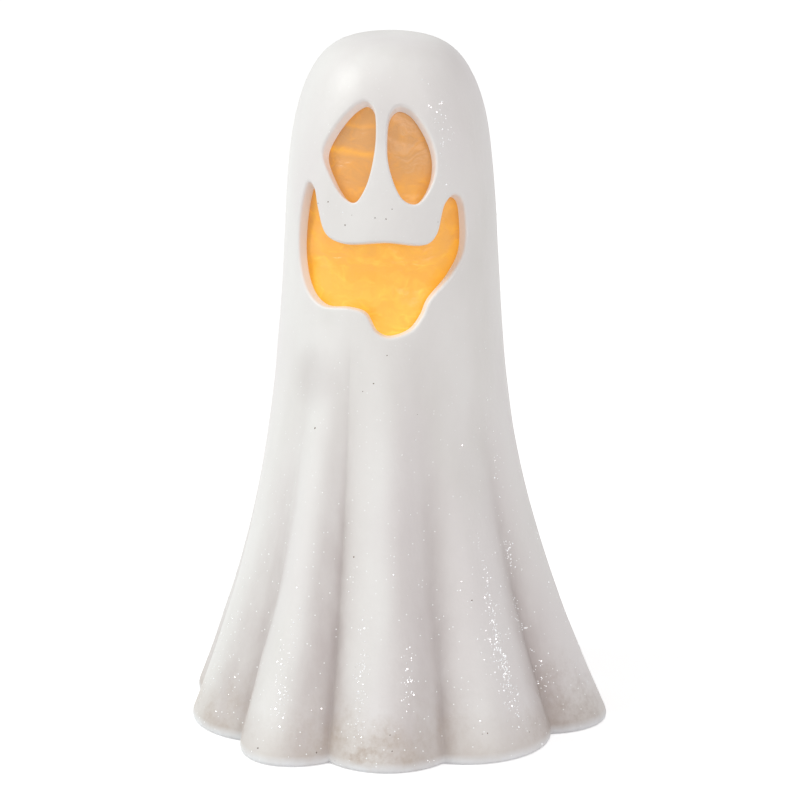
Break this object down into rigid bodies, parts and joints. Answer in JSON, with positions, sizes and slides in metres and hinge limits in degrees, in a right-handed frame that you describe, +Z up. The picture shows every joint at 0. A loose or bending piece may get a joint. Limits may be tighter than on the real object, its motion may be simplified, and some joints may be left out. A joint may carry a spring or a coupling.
{
  "type": "light-up ghost figure",
  "caption": "Table-top plastic ghost in a draped sheet, lit from inside through cut-out eyes and mouth, with a battery base.",
  "frame": {"origin": "middle of the hem's footprint, on the surface that the ghost stands on", "axes": "+Z up through the head; the face looks along -Y; +X to the right as one faces the ghost"},
  "size_m": [0.141, 0.1387, 0.23],
  "materials": {
    "shell": "satin off-white moulded plastic with a clear coat that holds fine glitter, faintly stained in the folds",
    "film": "thin crinkled amber film, lit from behind",
    "base": "fine-grained moulded plastic",
    "steel": "zinc-plated",
    "nickel": "nickel-plated",
    "jacket": "plain printed film over a metal can",
    "black": "plain",
    "red": "plain wire insulation",
    "laminate": "paper laminate",
    "board": "white solder mask",
    "lens": "clear epoxy, lit"
  },
  "bodies": {
    "ghost": {"ghost_shell": "shell", "face_film": "film", "base_plate": "base", "base_screw_1": "steel", "base_screw_2": "steel", "base_screw_3": "steel", "base_screw_4": "steel", "battery_1": "jacket", "battery_2": "jacket", "battery_3": "jacket", "contact_spring_1": "nickel", "contact_spring_2": "nickel", "contact_spring_3": "nickel", "contact_plus": "nickel", "contact_minus": "nickel", "contact_bridge_left": "nickel", "contact_bridge_right": "nickel", "switch_frame": "steel", "switch_insulator": "laminate", "switch_pin_1": "nickel", "switch_pin_2": "nickel", "switch_pin_3": "nickel", "switch_screw_1": "steel", "switch_screw_2": "steel", "lamp_post": "base", "post_screw_1": "steel", "post_screw_2": "steel", "lamp_board": "board", "led_lens": "lens", "led_lead_1": "nickel", "led_lead_2": "nickel", "resistor": "black", "wire_battery_switch": "red", "wire_switch_lamp": "red", "wire_battery_lamp": "black"},
    "battery_door": {"battery_door": "base"},
    "switch_lever": {"switch_lever": "black"}
  },
  "joints": [
    {"name": "battery_door_hinge", "type": "hinge", "parent": "ghost", "child": "battery_door", "pos_m": [-0.03485, -0.0003, 0.003], "axis": [0, 1, 0], "range_deg": [0, 60]},
    {"name": "switch_slide", "type": "slide", "parent": "ghost", "child": "switch_lever", "axis": [1, 0, 0], "range_m": [0, 0.0025]}
  ]
}
